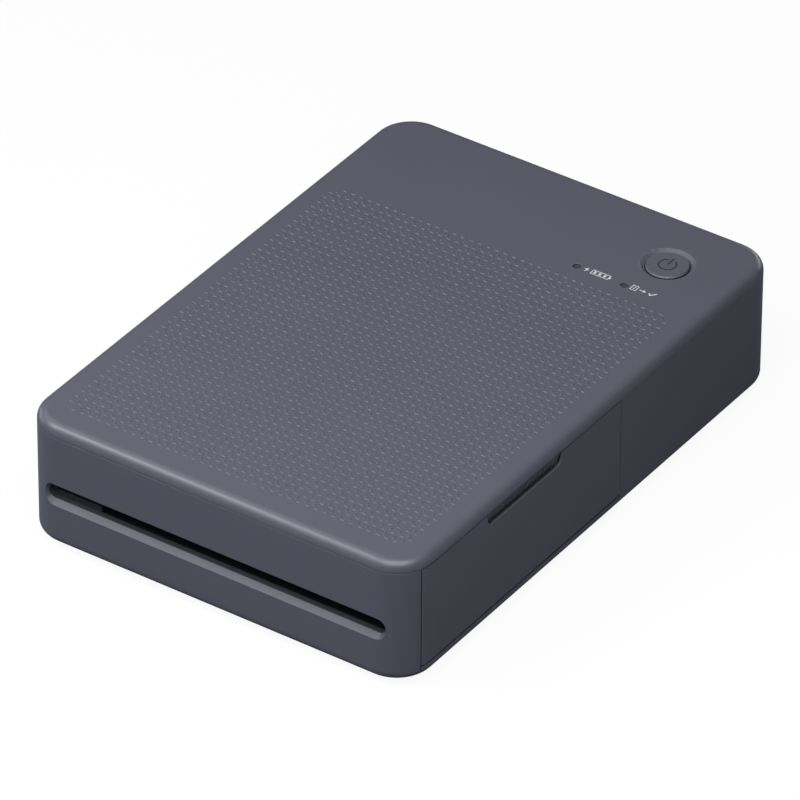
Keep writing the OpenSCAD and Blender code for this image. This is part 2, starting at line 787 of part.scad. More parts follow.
// Upright at the right end that carries the capstan, pinch and platen rollers
module roller_bracket() {
    front = capstan_at[0];
    color(steel) difference() {
        union() {
            block([bracket_x0, front - 2, floor_top], [bracket_x0 + bracket_t, front + 2, pinch_at[1] + 2.2]);
            block([bracket_x0, front - 2, floor_top], [bracket_x0 + bracket_t, platen_at[0] + 2.4, floor_top + 3]);
            block(
                [bracket_x0, platen_at[0] - 2.4, floor_top],
                [bracket_x0 + bracket_t, platen_at[0] + 2.4, path_z + 0.8]
            );
            // foot that stands on the floor
            block([bracket_x0 - 5, front - 2, floor_top], [bracket_x0 + 0.1, platen_at[0] - 4, floor_top + 0.8]);
        }
        rod(bracket_x0 - 1, bracket_t + 2, capstan_at, journal_r + running_fit);
        rod(bracket_x0 - 1, bracket_t + 2, pinch_at, pinch_journal_r + running_fit);
        rod(bracket_x0 - 1, bracket_t + 2, platen_at, journal_r + running_fit);
    }
}

// Frame behind the slot that leads the sheet out, with a pad that carries its left edge
module exit_guide() {
    pad_w = 13;
    pad_top = path_z - 0.5;
    y0 = -half_d + wall + slot_collar + 0.05;
    y1 = capstan_at[0] - capstan_r - 0.3;
    color(black_plastic) intersection() {
        union() {
            difference() {
                block([-guide_half, y0, path_z - 3.4], [guide_half, y1, path_z + 3.6]);
                block([-guide_half + 1, y0 - 1, path_z - 2.2], [guide_half - 1, y1 + 1, path_z + 2.4]);
            }
            translate([-guide_half + 0.5, y0, 0])
                linear_extrude(height = pad_top) polygon([
                    [0, 0], [pad_w - 0.6, 0], [pad_w + 1, y1 - y0], [0, y1 - y0]
                ]);
        }
        block([-half_w, -half_d, path_z - 3.4], [half_w, 0, path_z + 3.6]);
        translate([0, 0, floor_top]) linear_extrude(height = body_h) plan(wall + 0.05);
    }
}

// ---------- print station ----------

module thermal_head() {
    z0 = path_z + head_gap;
    color([0.78, 0.76, 0.7]) union() {
        block([-roller_half, head_y0, z0 + 0.3], [roller_half, head_y1, z0 + 1.5]);
        // heating line that presses the ribbon to the sheet
        rod(-roller_half + 1, 2 * roller_half - 2, [platen_at[0], z0 + 0.6], 0.6);
    }
}

module head_heat_sink() {
    z0 = path_z + head_gap + 1.5;
    slots = 11;
    pitch = (2 * roller_half - 12) / (slots - 1);
    color(steel) difference() {
        block([-roller_half, head_y0, z0], [roller_half, head_y1, top_plate_z0]);
        for (i = [0 : slots - 1])
            block(
                [-roller_half + 4 + i * pitch, head_y0 - 1, z0 + 4],
                [-roller_half + 8 + i * pitch, head_y0 + 1.4, top_plate_z0 - 2]
            );
    }
}

module platen_roller() {
    color([0.12, 0.12, 0.12]) difference() {
        rod(-roller_half, 2 * roller_half, platen_at, platen_r);
        rod(-roller_half - 1, 2 * roller_half + 2, platen_at, journal_r);
    }
}

module platen_shaft() {
    color(steel) rod(gear_x0 - 0.2, bracket_x0 + bracket_t + 0.2 - gear_x0, platen_at, journal_r);
}

module capstan_roller() {
    color(steel) {
        rod(-roller_half, 2 * roller_half, capstan_at, capstan_r);
        rod(gear_x0 - 0.2, bracket_x0 + bracket_t + 0.2 - gear_x0, capstan_at, journal_r);
    }
}

module pinch_roller() {
    color([0.12, 0.12, 0.12]) {
        rod(-roller_half, 2 * roller_half, pinch_at, capstan_r);
        rod(frame_x0 - 0.4, bracket_x0 + bracket_t + 0.4 - frame_x0, pinch_at, pinch_journal_r);
    }
}

// ---------- gears ----------

pressure_angle = 20;
addendum = 0.8 * gear_module;
dedendum = 1.1 * gear_module;

// Involute function, in degrees
function inv(a) = tan(a) * 180 / PI - a;

// Half the angle that a tooth spans at radius r
function half_tooth(teeth, r) =
    let (base = pitch_r(teeth) * cos(pressure_angle))
    90 / teeth - backlash / pitch_r(teeth) * 90 / PI
    + inv(pressure_angle) - inv(acos(min(1, base / max(r, base))));

function tooth_side(teeth, turn, side) =
    let (root = pitch_r(teeth) - dedendum, tip = pitch_r(teeth) + addendum)
    let (base = max(pitch_r(teeth) * cos(pressure_angle), root + 0.1))
    let (radii = [root, base, (base + tip) / 2, tip])
    [for (i = [0 : 3])
        let (r = side < 0 ? radii[i] : radii[3 - i], a = turn + side * half_tooth(teeth, r))
        [r * cos(a), r * sin(a)]];

// Outline of an involute gear, one tooth centred on the phase angle
module gear_outline(teeth, phase) {
    polygon([for (i = [0 : teeth - 1], side = [-1, 1]) each tooth_side(teeth, phase + i * 360 / teeth, side)]);
}

// A gear in the train's plane, with its bore; a big one has a thin web and a hub
module train_gear(at, teeth, phase, bore_r) {
    rim_r = pitch_r(teeth) - 2.2 * gear_module;
    hub_r = bore_r + 1.1;
    color(gear_white) translate([gear_x0, at[0], at[1]]) rotate([90, 0, 90]) difference() {
        linear_extrude(height = gear_w) gear_outline(teeth, phase);
        translate([0, 0, -1]) cylinder(r = bore_r, h = gear_w + 2);
        if (rim_r - hub_r > 1.5)
            difference() {
                translate([0, 0, -1]) cylinder(r = rim_r, h = 1 + gear_w / 3);
                translate([0, 0, -1]) cylinder(r = hub_r, h = 1 + gear_w);
            }
    }
}

module platen_gear() {
    train_gear(platen_at, platen_teeth, platen_phase, journal_r);
}

module capstan_gear() {
    train_gear(capstan_at, capstan_teeth, capstan_phase, journal_r);
}

module front_idler_gear() {
    train_gear(front_at, front_teeth, front_phase, post_r + running_fit);
}

// Gear of the slipping clutch, which turns on the take-up spool's drive pin
module clutch_gear() {
    train_gear(clutch_at, clutch_teeth, clutch_phase, spool_hub_r + running_fit);
}

module upper_idler_gear() {
    train_gear(upper_at, upper_teeth, upper_phase, post_r + running_fit);
}

module middle_idler_gear() {
    train_gear(middle_at, middle_teeth, middle_phase, post_r + running_fit);
}

module rear_idler_gear() {
    train_gear(rear_at, rear_teeth, rear_phase, post_r + running_fit);
}

module motor_pinion() {
    train_gear(pinion_at, pinion_teeth, pinion_phase, 0.75);
    color(steel) rod(gear_x0 - 0.2, 8, pinion_at, 0.75);
}

module drive_motor() {
    color(steel) difference() {
        union() {
            rod(frame_x1, motor_len, pinion_at, motor_r);
            rod(frame_x1 + motor_len, 1.2, pinion_at, 2);
        }
        rod(frame_x1 - 1, 7, pinion_at, 0.75 + running_fit);
    }
}

module pickup_shaft() {
    color(steel) rod(gear_x0 - 0.2, pickup_shaft_len, pickup_at, pinch_journal_r);
}

module pickup_tyres() {
    color([0.12, 0.12, 0.12]) for (i = [0, 1])
        difference() {
            rod(tyre_x0 + i * tyre_pitch, tyre_w, pickup_at, pickup_r);
            rod(tyre_x0 + i * tyre_pitch - 1, tyre_w + 2, pickup_at, pinch_journal_r);
        }
}

module pickup_gear() {
    train_gear(pickup_at, pickup_teeth, pickup_phase, pinch_journal_r);
}

// ---------- cassette ----------

module cassette_tray() {
    t = cassette_t;
    color([0.2, 0.2, 0.22]) {
        difference() {
            block([cassette_x0, tray_y0, cassette_z0], [cassette_x1, cassette_y1, tray_top]);
            block(
                [cassette_x0 + t, tray_y0 + t, cassette_z0 + t],
                [cassette_x1 - t, cassette_y1 - t, tray_top + over]
            );
        }
        // rear wall up to the cover
        block([cassette_x0, cassette_y1 - t, tray_top - 0.1], [cassette_x1, cassette_y1, cover_z0]);
        // end plate that faces the door
        block([cassette_x1 - t, tray_y0, tray_top - 0.1], [cassette_x1, cassette_y1, cover_z0]);
    }
}

module cassette_cover() {
    t = cassette_t;
    x0 = cassette_x0;
    x1 = cassette_x1;
    supply_y1 = head_y0 - 0.3;
    takeup_y0 = head_y1 + 0.3;
    takeup_y1 = clutch_at[0] + ribbon_r + 0.5 + t;
    color([0.2, 0.2, 0.22]) difference() {
        union() {
            // housings of the supply and take-up spools
            block([x0, cassette_y0, cover_z0], [x1, supply_y1, cassette_z1]);
            block([x0, takeup_y0, cover_z0], [x1, takeup_y1, cassette_z1]);
            // lid over the paper, and its rear wall
            block([x0, takeup_y1 - 0.1, cover_z0], [x1, cassette_y1, cover_z0 + t]);
            block([x0, cassette_y1 - t, cover_z0], [x1, cassette_y1, cassette_z1]);
            // end plate, which joins the two housings past the head
            block([x1 - t, cassette_y0, cover_z0], [x1, cassette_y1, cassette_z1]);
            // ledge to pull the cassette out by
            block([x1 - 0.1, ledge_y0, ledge_z0], [x1 + ledge_out, ledge_y0 + ledge_len, ledge_z0 + ledge_t]);
        }
        spool_room(supply_at, supply_at[0] - 2.4, supply_y1 + 0.1);
        spool_room(clutch_at, takeup_y0 - 0.1, clutch_at[0] + 2.4);
    }
}

// The round room of a spool, its bearings, and the way out for the ribbon below it
module spool_room(at, y0, y1) {
    x0 = cassette_x0;
    x1 = cassette_x1 - cassette_t;
    rod(x0 + cassette_t, x1 - x0 - cassette_t, at, ribbon_r + 0.3);
    block([x0 + cassette_t, y0, cover_z0 - 1], [x1, y1, cover_z0 + 1.4]);
    block([x0 + cassette_t, at[0] - 2.4, cover_z0], [x1, at[0] + 2.4, at[1]]);
    rod(x0 - 1, cassette_t + 2, at, spool_hub_r + running_fit);
    rod(x1 - 0.1, cassette_t - 0.2, at, spool_hub_r + running_fit);
}

module lift_plate() {
    y0 = tray_y0 + cassette_t + 0.4;
    half = sheet_w / 2 - 3;
    color(steel) {
        block([-half, y0, stack_z0 - 0.7], [half, stack_y1 - 4, stack_z0 - 0.1]);
        // spring tongues bent down to the tray
        for (x = [-half + 14, half - 20])
            block([x, y0 + 20, cassette_z0 + cassette_t], [x + 6, y0 + 20.6, stack_z0 - 0.6]);
    }
}

module paper_stack() {
    color("white") block([-sheet_w / 2, stack_y1 - sheet_len, stack_z0], [sheet_w / 2, stack_y1, stack_z1]);
}

module spool(at, drive) {
    color([0.75, 0.75, 0.72]) {
        rod(-spool_half, 2 * spool_half, at, spool_core_r);
        rod(-spool_half, spool_flange_t, at, ribbon_r);
        rod(spool_half - spool_flange_t, spool_flange_t, at, ribbon_r);
        rod(drive, cassette_x1 - 0.8 - drive, at, spool_hub_r);
    }
}

module wound_ribbon(at) {
    half = spool_half - spool_flange_t;
    color([0.1, 0.08, 0.12]) difference() {
        rod(-half, 2 * half, at, ribbon_r - 0.3);
        rod(-half - 1, 2 * half + 2, at, spool_core_r);
    }
}

module supply_spool() {
    spool(supply_at, frame_x0 - 0.3);
}

module supply_roll() {
    wound_ribbon(supply_at);
}

module takeup_spool() {
    spool(clutch_at, gear_x0 - 0.2);
}

module takeup_roll() {
    wound_ribbon(clutch_at);
}

// Ribbon drawn from one spool, under the print head and up to the other
module ribbon_web() {
    reach = spool_half - spool_flange_t - 0.2;
    r = ribbon_r - 0.3 + 0.05;
    low = web_z;
    color([0.1, 0.08, 0.12]) translate([-reach, 0, 0]) rotate([90, 0, 90]) linear_extrude(height = 2 * reach)
        polygon([
            [supply_at[0], supply_at[1] - r], [head_y0, low + web_t], [head_y1, low + web_t],
            [clutch_at[0], clutch_at[1] - r], [clutch_at[0], clutch_at[1] - r - web_t],
            [head_y1, low], [head_y0, low], [supply_at[0], supply_at[1] - r - web_t]
        ]);
}

// ---------- electronics ----------

module main_board() {
    color([0.1, 0.28, 0.16]) {
        block([board_x0, board_y0, board_z0], [board_x1, board_y1, board_z0 + board_t]);
        // processor, power coil and the row of sockets
        translate([board_x0, board_y0, board_z0 + board_t - 0.1]) {
            translate([24, 10, 0]) cube([12, 12, 1.1]);
            translate([44, 14, 0]) cube([7, 7, 3.1]);
            translate([4, 6, 0]) cube([5, 20, 2.6]);
        }
    }
}

module battery() {
    color([0.3, 0.35, 0.5]) block(
        [battery_x0, battery_y0, floor_top], [battery_x1, battery_y1, floor_top + battery_h]
    );
}

module usb_socket() {
    z = board_z0 + board_t + usb_h / 2;
    color(steel) translate([usb_x, half_d - 0.6, z]) rotate([90, 0, 0]) difference() {
        linear_extrude(height = 8) stadium(usb_w, usb_h);
        translate([0, 0, -0.1]) linear_extrude(height = 6) stadium(usb_w - 0.6, usb_h - 0.6);
    }
    color(black_plastic) block([usb_x - 3.2, half_d - 7.4, z - 0.35], [usb_x + 3.2, half_d - 1.6, z + 0.35]);
}

upper_case();
front_bezel();
lower_case();
rubber_feet();
case_screws();
cassette_door();
door_hinge_pins();
power_button();
power_switch();
button_board();
light_pipes();
side_frame();
bay_wall();
top_plate();
roller_bracket();
exit_guide();
thermal_head();
head_heat_sink();
platen_roller();
platen_shaft();
platen_gear();
capstan_roller();
capstan_gear();
pinch_roller();
front_idler_gear();
clutch_gear();
upper_idler_gear();
middle_idler_gear();
rear_idler_gear();
motor_pinion();
drive_motor();
pickup_tyres();
pickup_shaft();
pickup_gear();
cassette_tray();
cassette_cover();
lift_plate();
paper_stack();
supply_spool();
supply_roll();
takeup_spool();
takeup_roll();
ribbon_web();
main_board();
battery();
usb_socket();
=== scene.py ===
# %% [markdown]
# # Dressing a compact photo printer
#
# The printer's pieces arrive as finished solids in metres: case shells, door, rollers, gears and
# boards. This lesson gives them their looks. We set up a camera and soft light, build a small kit
# of reusable shader groups for moulded plastic, and add the fine relief of the top cover, which
# is too small to be worth a solid of its own.

import math

import bpy
from mathutils import Matrix, Vector


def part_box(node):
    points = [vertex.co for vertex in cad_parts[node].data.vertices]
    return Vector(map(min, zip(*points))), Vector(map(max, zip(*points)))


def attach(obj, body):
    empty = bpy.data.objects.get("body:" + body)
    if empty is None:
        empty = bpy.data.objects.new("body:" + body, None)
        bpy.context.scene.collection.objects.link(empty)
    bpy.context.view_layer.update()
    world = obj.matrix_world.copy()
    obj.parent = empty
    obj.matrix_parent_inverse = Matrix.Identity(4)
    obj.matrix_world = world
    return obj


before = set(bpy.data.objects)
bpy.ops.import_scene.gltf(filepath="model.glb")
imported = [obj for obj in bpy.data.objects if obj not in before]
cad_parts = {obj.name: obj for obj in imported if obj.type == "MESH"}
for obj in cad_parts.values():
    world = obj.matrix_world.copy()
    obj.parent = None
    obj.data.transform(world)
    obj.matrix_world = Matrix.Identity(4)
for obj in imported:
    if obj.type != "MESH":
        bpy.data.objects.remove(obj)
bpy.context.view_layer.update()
MM = 0.001

# %% [markdown]
# ## The camera
#
# A product shot like this one is taken from far away with a long lens, so that the edges of the
# box stay nearly parallel. We could aim a camera with a Track To constraint, but a photograph is
# matched better by numbers: the direction it looks along, its distance, a small slide sideways and
# a small roll. From these we build the three axes of the camera and put them in its matrix.

# %% Camera
view_azimuth = math.radians(34.35)
view_elevation = math.radians(35.384)
view_roll = math.radians(0.319)
view_distance = 2.00563
aim_height = 0.01709
slide_right = -0.000942
slide_up = -0.001899
focal_length = 409.27
sensor_width = 36
sight_limit = 20

target = Vector((0, 0, aim_height))
backward = Vector((
    math.sin(view_azimuth) * math.cos(view_elevation),
    -math.cos(view_azimuth) * math.cos(view_elevation),
    math.sin(view_elevation),
))
level_right = (-backward).cross(Vector((0, 0, 1))).normalized()
level_up = level_right.cross(-backward)
right = level_right * math.cos(view_roll) + level_up * math.sin(view_roll)
up = -level_right * math.sin(view_roll) + level_up * math.cos(view_roll)

camera_data = bpy.data.cameras.new("camera")
camera_data.sensor_width = sensor_width
camera_data.lens = focal_length
camera_data.clip_end = sight_limit
camera = bpy.data.objects.new("camera", camera_data)
bpy.context.scene.collection.objects.link(camera)
place = target + backward * view_distance + right * slide_right + up * slide_up
axes = Matrix((right, up, backward)).transposed().to_4x4()
camera.matrix_world = Matrix.Translation(place) @ axes
bpy.context.scene.camera = camera
bpy.context.scene.view_settings.view_transform = "Standard"
print("camera stands", round(place.length, 3), "m away")

# %% [markdown]
# ## Helpers for node trees
#
# Every material below is a node tree. A helper that makes a node, sets its plain values and wires
# its inputs keeps each recipe readable: a tuple or number becomes a socket value, and a socket
# becomes a link. Four more wrap what comes back most: arithmetic, a scaled colour, a mix of two
# colours, and the place on the object.


# %% Node helpers
def node(tree, kind, label=None, settings=None, **inputs):
    made = tree.nodes.new(kind)
    if label:
        made.label = label
    for name, value in (settings or {}).items():
        setattr(made, name, value)
    for name, value in inputs.items():
        socket = made.inputs[int(name[1:])] if name[0] == "i" and name[1:].isdigit() else None
        socket = socket or made.inputs[name.replace("_", " ")]
        if isinstance(value, bpy.types.NodeSocket):
            tree.links.new(value, socket)
        else:
            socket.default_value = value
    return made


def math_node(tree, operation, *values, clamp=False):
    inputs = {f"i{i}": value for i, value in enumerate(values)}
    settings = {"operation": operation, "use_clamp": clamp}
    return node(tree, "ShaderNodeMath", settings=settings, **inputs).outputs[0]


def scaled(tree, colour, factor):
    settings = {"operation": "SCALE"}
    return node(tree, "ShaderNodeVectorMath", settings=settings, i0=colour, Scale=factor).outputs[0]


def colour_mix(tree, mask, plain, other):
    settings = {"data_type": "RGBA"}
    return node(tree, "ShaderNodeMix", settings=settings, i0=mask, i6=plain, i7=other).outputs[2]


def object_place(tree):
    return node(tree, "ShaderNodeTexCoord").outputs["Object"]


print("node helpers ready")

# %% [markdown]
# ## Floor and backdrop
#
# The printer stands on a white studio sweep. A white floor lit like the object would come out
# grey, and turning the lamps up would wash the object out. So the floor asks the Light Path node
# who is looking. The camera and rays through clear plastic mostly see plain white. Glossy rays see
# a paler share of that white, since a full white floor would veil the dark sides of the case. All
# other rays meet a grey diffuse floor, which throws only a little light back up. A share of the
# ordinary floor is kept for the camera too, and that keeps the soft shadow under the case.

# %% Floor and world
floor_colour = (0.86, 0.86, 0.86, 1)
bounce_colour = (0.13, 0.14, 0.17, 1)
seen_white = 0.93
gloss_share = 0.06
floor_size = 6
room_colour = (0.8, 0.88, 1.0, 1)
room_strength = 0.03


def seen_by_eye(tree):
    path = node(tree, "ShaderNodeLightPath")
    direct = math_node(
        tree, "MAXIMUM", path.outputs["Is Camera Ray"], path.outputs["Is Transmission Ray"],
    )
    in_gloss = math_node(tree, "MULTIPLY", path.outputs["Is Glossy Ray"], gloss_share)
    return math_node(tree, "MAXIMUM", direct, in_gloss)


floor_material = bpy.data.materials.new("studio_floor")
floor_material.use_nodes = True
tree = floor_material.node_tree
tree.nodes.clear()
first_look = node(tree, "ShaderNodeLightPath").outputs["Is Camera Ray"]
shade = colour_mix(tree, first_look, bounce_colour, floor_colour)
soft_floor = node(tree, "ShaderNodeBsdfDiffuse", Color=shade)
white = node(tree, "ShaderNodeEmission", Color=(1, 1, 1, 1), Strength=1.0)
share = math_node(tree, "MULTIPLY", seen_by_eye(tree), seen_white)
blend = node(tree, "ShaderNodeMixShader", i0=share, i1=soft_floor.outputs[0], i2=white.outputs[0])
node(tree, "ShaderNodeOutputMaterial", Surface=blend.outputs[0])

bpy.ops.mesh.primitive_plane_add(size=floor_size, location=(0, 0, 0))
floor = bpy.context.object
floor.name = "studio_floor"
floor.data.materials.append(floor_material)

world = bpy.context.scene.world or bpy.data.worlds.new("studio")
bpy.context.scene.world = world
world.use_nodes = True
tree = world.node_tree
tree.nodes.clear()
room = node(tree, "ShaderNodeBackground", Color=room_colour, Strength=room_strength)
bright = node(tree, "ShaderNodeBackground", Color=(1, 1, 1, 1), Strength=1.0)
camera_ray = node(tree, "ShaderNodeLightPath").outputs["Is Camera Ray"]
chosen = node(tree, "ShaderNodeMixShader", i0=camera_ray, i1=room.outputs[0], i2=bright.outputs[0])
node(tree, "ShaderNodeOutputWorld", Surface=chosen.outputs[0])
print("floor keeps", round((1 - seen_white) * 100), "per cent of its shadow")

# %% [markdown]
# ## Lamps
#
# The top of the case is brightest near the front edge and falls off towards the back, the front
# face is a step darker, and the right side darker still. So two large softboxes hang over the
# front: near them the top is bright, and the light thins out towards the back. The smaller a lamp
# looks from the object, the sharper its highlight. So the line along the rounded front edge comes
# from three smaller lamps on the left, while the large ones leave the right corner soft. A panel
# high on the left and two low fills, behind and on the left, keep the far sides readable.


# %% Softboxes
def softbox(name, at, aim, size, power):
    data = bpy.data.lights.new(name, "AREA")
    data.shape = "RECTANGLE"
    data.size, data.size_y = size
    data.energy = power
    lamp = bpy.data.objects.new(name, data)
    bpy.context.scene.collection.objects.link(lamp)
    lamp.location = at
    lamp.rotation_euler = (Vector(aim) - Vector(at)).to_track_quat("-Z", "Y").to_euler()
    return lamp


middle = (0, 0, 0.02)
lamps = [
    softbox("key_softbox", (0.15, -0.22, 0.42), middle, (0.5, 0.4), 2.1),
    softbox("front_softbox", (0.0, -0.22, 0.4), middle, (0.5, 0.3), 0.62),
    softbox("edge_softbox", (-0.33, -0.24, 0.40), middle, (0.2, 0.2), 0.75),
    softbox("edge_strip", (-0.25, -0.22, 0.45), middle, (0.2, 0.15), 0.2),
    softbox("front_strip", (-0.25, -0.40, 0.33), middle, (0.35, 0.2), 0.3),
    softbox("left_panel", (-0.5, 0.1, 0.6), middle, (0.5, 0.5), 0.8),
    softbox("rear_fill", (0.0, 0.8, 0.15), middle, (0.5, 0.25), 0.9),
    softbox("left_fill", (-0.8, 0.0, 0.15), middle, (0.5, 0.25), 0.7),
]
print("lamps:", [(lamp.name, round(lamp.data.energy, 2)) for lamp in lamps])

# %% [markdown]
# ## Shader groups shared by the moulded parts
#
# Injection-moulded plastic looks matte because the steel of the mould was etched with a fine
# grain. The same grain, at other scales, sits on rubber and on film, so it is a node group: built
# once and placed in each material with its own scale. The group gives out a height for a Bump
# node and a faint tone for the colour.


# %% Grain group
def new_group(name, inputs, outputs):
    group = bpy.data.node_groups.new(name, "ShaderNodeTree")
    for label, default in inputs:
        socket = group.interface.new_socket(label, in_out="INPUT", socket_type="NodeSocketFloat")
        socket.default_value = default
    for label in outputs:
        group.interface.new_socket(label, in_out="OUTPUT", socket_type="NodeSocketFloat")
    return group, group.nodes.new("NodeGroupInput"), group.nodes.new("NodeGroupOutput")


coarse_size = 0.31
coarse_height = 0.45
cloud_scale = 35.0
speck_share = 0.6

grain_group, given, result = new_group(
    "moulded_grain", [("Scale", 3000.0), ("Unevenness", 0.3)], ["Height", "Tone"],
)
where = object_place(grain_group)
fine = node(
    grain_group, "ShaderNodeTexNoise",
    Vector=where, Scale=given.outputs["Scale"], Detail=3.0, Roughness=0.65,
)
coarse_scale = math_node(grain_group, "MULTIPLY", given.outputs["Scale"], coarse_size)
coarse = node(grain_group, "ShaderNodeTexVoronoi", Vector=where, Scale=coarse_scale)
height = math_node(
    grain_group, "MULTIPLY_ADD", coarse.outputs["Distance"], coarse_height, fine.outputs["Fac"],
)
grain_group.links.new(height, result.inputs["Height"])
cloud = node(grain_group, "ShaderNodeTexNoise", Vector=where, Scale=cloud_scale, Detail=2.0)
mottle = math_node(grain_group, "SUBTRACT", cloud.outputs["Fac"], 0.5)
speck = math_node(grain_group, "SUBTRACT", fine.outputs["Fac"], 0.5)
speck = math_node(grain_group, "MULTIPLY", speck, speck_share)
tone = math_node(grain_group, "ADD", mottle, speck)
tone = math_node(grain_group, "MULTIPLY_ADD", tone, given.outputs["Unevenness"], 1.0)
grain_group.links.new(tone, result.inputs["Tone"])
given_out = [socket.name for socket in grain_group.interface.items_tree if socket.in_out == "OUTPUT"]
print("group", grain_group.name, "gives", given_out)

# %% [markdown]
# No moulded edge is perfectly sharp, and hands polish the edges of a case first, so its edges are
# a touch smoother than its faces; the lighter colour along them is a painted highlight. The Bevel
# node rounds the normals near an edge, which lets a seam catch a thin line of light on its upper
# side. Where the rounded normal leaves the true one, there is an edge, and the dot product of the
# two turns that into a mask.

# %% Edge mask group
edge_gain = 6.0

edge_group, given, result = new_group(
    "polished_edges_and_highlight", [("Width", 0.0004), ("Strength", 1.0)], ["Mask"],
)
edge_group.interface.new_socket("Normal", in_out="OUTPUT", socket_type="NodeSocketVector")
rounded = node(edge_group, "ShaderNodeBevel", settings={"samples": 6}, Radius=given.outputs["Width"])
true_normal = node(edge_group, "ShaderNodeNewGeometry").outputs["Normal"]
alike = node(
    edge_group, "ShaderNodeVectorMath", settings={"operation": "DOT_PRODUCT"},
    i0=rounded.outputs[0], i1=true_normal,
)
turned = math_node(edge_group, "SUBTRACT", 1.0, alike.outputs["Value"])
mask = math_node(edge_group, "MULTIPLY", turned, edge_gain, clamp=True)
mask = math_node(edge_group, "MULTIPLY", mask, given.outputs["Strength"])
edge_group.links.new(mask, result.inputs["Mask"])
edge_group.links.new(rounded.outputs[0], result.inputs["Normal"])
print("group", edge_group.name, "ready")

# %% [markdown]
# A narrow seam is darker than the faces beside it, because little light finds its way in. The
# renderer sees that by itself where a gap is deep, but a shallow one is filled by the rounded
# normals above. The Ambient Occlusion node measures how much of the sky a point sees nearby, and
# a steep ramp keeps only the tight places, so the open faces stay as they are.

# %% Seam shade group
seam_closed = 0.3
seam_open = 0.8

seam_group, given, result = new_group("seam_shade", [("Reach", 0.0007), ("Strength", 0.8)], ["Shade"])
openness = node(
    seam_group, "ShaderNodeAmbientOcclusion", settings={"samples": 4},
    Distance=given.outputs["Reach"],
)
tightness = node(
    seam_group, "ShaderNodeMapRange",
    Value=openness.outputs["AO"], i1=seam_closed, i2=seam_open, i3=1.0, i4=0.0,
)
taken = math_node(seam_group, "MULTIPLY", tightness.outputs[0], given.outputs["Strength"])
seam_group.links.new(math_node(seam_group, "SUBTRACT", 1.0, taken), result.inputs["Shade"])
print("group", seam_group.name, "ready")

# %% [markdown]
# ## The moulded plastics
#
# One recipe serves every moulded piece: colour times the grain's tone, lightened along the
# edges by a painted highlight, with the grain as a bump. Colour, roughness and grain size change
# from piece to piece: the case is slate grey with a hint of violet, the cassette is darker, the
# sheet guide nearly black, and the gears are natural white and hardly grained. Pieces with narrow
# gaps round them take the seam shade too.


# %% Moulded plastic recipe
grain_depth = 0.00003
edge_polish = -0.12
# Painted highlight along the edges: how much lighter their colour is than the plastic's own.
edge_highlight_gain = 1.6
edge_highlight_lift = 0.02


def new_material(name):
    material = bpy.data.materials.new(name)
    material.use_nodes = True
    tree = material.node_tree
    shader = tree.nodes["Principled BSDF"]
    return material, tree, shader


def shade_base(material, factor):
    tree = material.node_tree
    base = tree.nodes["Principled BSDF"].inputs["Base Color"]
    tree.links.new(scaled(tree, base.links[0].from_socket, factor), base)


def grained(
    name, colour, roughness, grain_mm=0.16, bump=0.25, edge=0.35, edge_mm=0.2, unevenness=0.08,
    metallic=0.0, coat=0.0, seam=0.0,
):
    material, tree, shader = new_material(name)
    grain = node(
        tree, "ShaderNodeGroup", "grain", {"node_tree": grain_group},
        Scale=1 / (grain_mm * MM), Unevenness=unevenness,
    )
    edges = node(
        tree, "ShaderNodeGroup", "edges", {"node_tree": edge_group},
        Width=edge_mm * MM, Strength=edge,
    )
    base = scaled(tree, colour, grain.outputs["Tone"])
    # Painted highlight: the edges get a lighter colour than the plastic has.
    light = tuple(min(1.0, c * edge_highlight_gain + edge_highlight_lift) for c in colour)
    colour_out = colour_mix(tree, edges.outputs["Mask"], base, (*light, 1))
    if seam:
        gap = node(tree, "ShaderNodeGroup", "seams", {"node_tree": seam_group}, Strength=seam)
        colour_out = scaled(tree, colour_out, gap.outputs["Shade"])
    tree.links.new(colour_out, shader.inputs["Base Color"])
    rough = math_node(tree, "MULTIPLY_ADD", edges.outputs["Mask"], edge_polish, roughness)
    tree.links.new(rough, shader.inputs["Roughness"])
    bumps = node(
        tree, "ShaderNodeBump", Strength=bump, Distance=grain_depth,
        Height=grain.outputs["Height"], Normal=edges.outputs["Normal"],
    )
    tree.links.new(bumps.outputs[0], shader.inputs["Normal"])
    shader.inputs["Metallic"].default_value = metallic
    shader.inputs["Coat Weight"].default_value = coat
    return material


slate = (0.098, 0.098, 0.127)
case_plastic = grained("slate_plastic", slate, 0.31, edge_mm=0.15, edge=0.9, seam=0.8)
door_plastic = grained("door_plastic", slate, 0.31, edge_mm=0.15, edge=1.0, seam=0.85)
bezel_plastic = grained("bezel_plastic", slate, 0.31, edge_mm=0.15, edge=1.0)
guide_plastic = grained("guide_plastic", (0.007, 0.0075, 0.01), 0.6, grain_mm=0.2)
dark_plastic = grained("dark_plastic", (0.06, 0.06, 0.07), 0.5, grain_mm=0.2)
black_plastic = grained("black_plastic", (0.018, 0.019, 0.025), 0.5, grain_mm=0.2)
gear_plastic = grained("gear_plastic", (0.68, 0.66, 0.58), 0.38, grain_mm=0.5, bump=0.08, edge=0.1)
print("case colour", slate)

# %% [markdown]
# The paper slot of the bezel is a deep mouth. The light dies away on its floor, and its lower lip
# gets brighter towards the outside. This is the seam shade again at a longer reach, and it counts
# only the bezel itself, so that the floor under the printer doesn't darken the front.

# %% Slot shade
slot_reach = 6 * MM
slot_darkest = 0.4
tree = bezel_plastic.node_tree
openness = node(
    tree, "ShaderNodeAmbientOcclusion", settings={"samples": 6, "only_local": True},
    Distance=slot_reach,
)
slot_shade = node(
    tree, "ShaderNodeMapRange",
    Value=openness.outputs["AO"], i1=slot_darkest, i2=1.0, i3=0.0, i4=1.0,
)
shade_base(bezel_plastic, slot_shade.outputs[0])
print("slot shade reaches", round(slot_reach / MM, 1), "mm")
